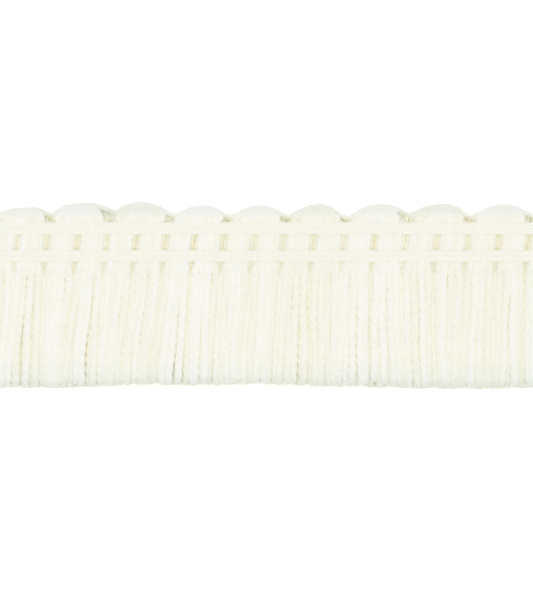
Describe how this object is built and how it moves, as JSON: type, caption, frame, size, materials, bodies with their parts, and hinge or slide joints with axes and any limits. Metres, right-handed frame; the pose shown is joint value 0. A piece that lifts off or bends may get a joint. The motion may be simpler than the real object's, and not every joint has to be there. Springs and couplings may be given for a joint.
{
  "type": "brush fringe trim",
  "caption": "Straight cut length of cream brush fringe: a scalloped looped heading held by two flat warp bands, with thick tufts of cut twisted yarn hanging from its lower edge.",
  "frame": {"origin": "middle of the lower warp band's flat back, on the surface that the trim lies on", "axes": "+X along the trim, +Y towards the scalloped edge and away from the cut fringe, +Z out of the face"},
  "size_m": [0.1188, 0.033, 0.0038],
  "materials": {
    "pile_yarn": "matte cream two-ply yarn, twisted and cut",
    "warp_yarn": "matte cream yarn, worked in two rows to each band"
  },
  "bodies": {
    "root": {"loop_01": "pile_yarn", "loop_02": "pile_yarn", "loop_03": "pile_yarn", "loop_04": "pile_yarn", "loop_05": "pile_yarn", "loop_06": "pile_yarn", "loop_07": "pile_yarn", "loop_08": "pile_yarn", "loop_09": "pile_yarn", "loop_10": "pile_yarn", "loop_11": "pile_yarn", "band_lower": "warp_yarn", "band_upper": "warp_yarn"}
  },
  "joints": []
}
